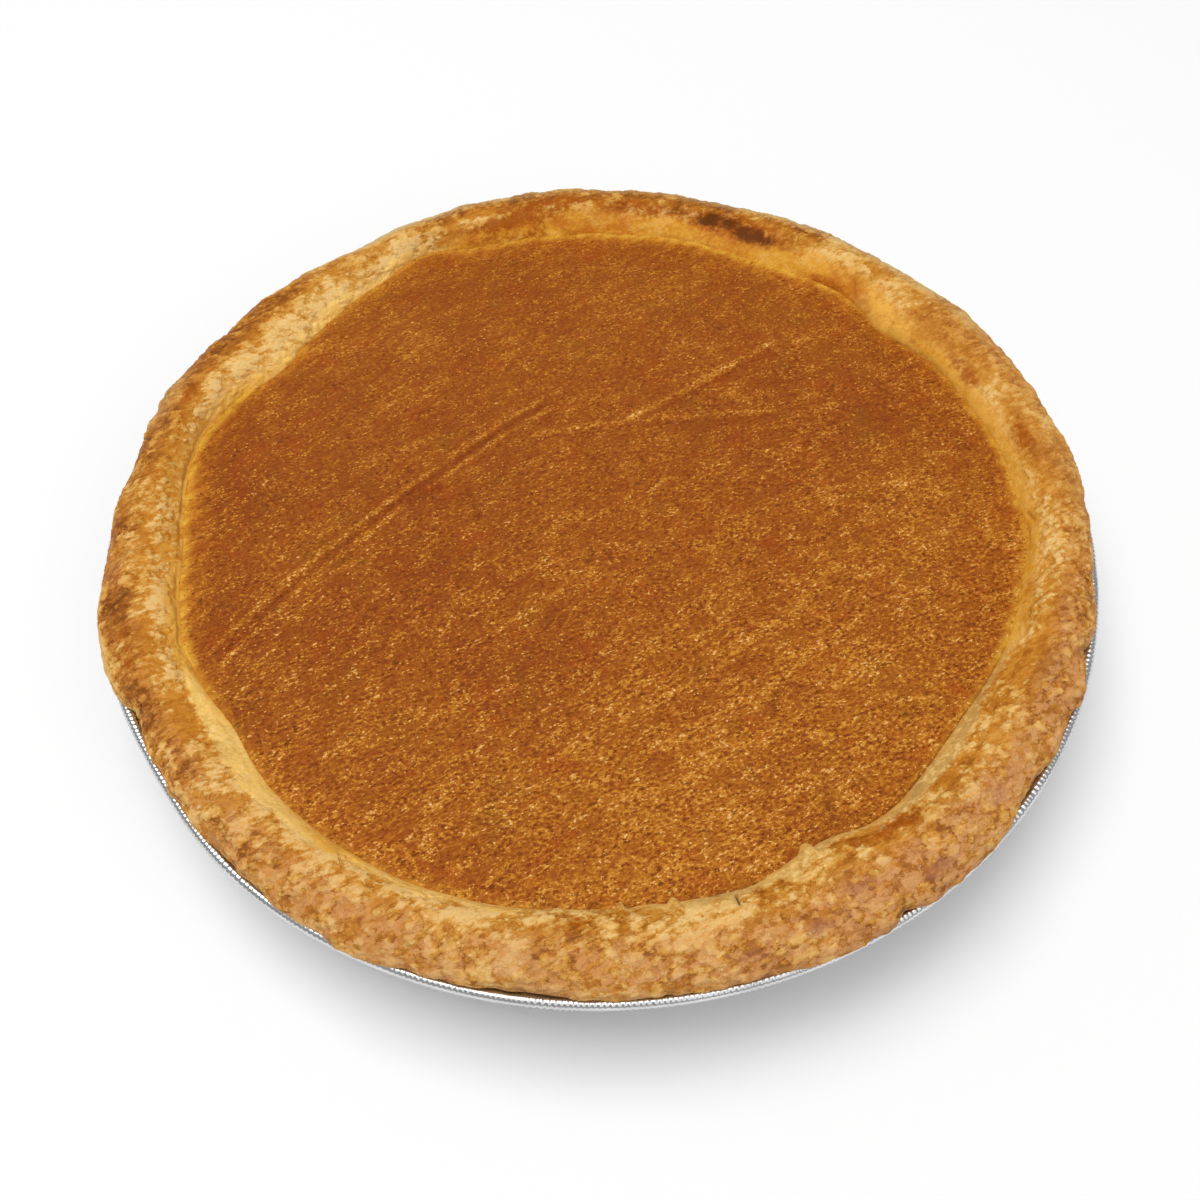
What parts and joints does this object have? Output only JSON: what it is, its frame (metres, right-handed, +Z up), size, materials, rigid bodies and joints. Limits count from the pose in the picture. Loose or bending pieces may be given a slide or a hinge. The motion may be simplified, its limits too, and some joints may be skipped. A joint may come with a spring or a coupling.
{
  "type": "pumpkin pie",
  "caption": "Round pumpkin pie with a smooth rolled crust, baked and served in its own shallow foil tin.",
  "frame": {"origin": "middle of the tin's flat base, on the surface that the pie stands on", "axes": "+Z up out of the pie; +X and +Y lie in the base, with -Y towards the side nearest the viewer"},
  "size_m": [0.2444, 0.2444, 0.0382],
  "materials": {
    "tin_foil": "thin pressed foil, bright, finely pleated on the wall and the rolled bead",
    "baked_pastry": "golden baked pastry, dry and slightly blistered, paler flaky patches and a few darker spots",
    "pumpkin_filling": "set spiced pumpkin custard, burnt orange-brown with a soft satin skin and fine golden glints"
  },
  "bodies": {
    "root": {"foil_tin": "tin_foil", "crust": "baked_pastry", "filling": "pumpkin_filling"}
  },
  "joints": []
}
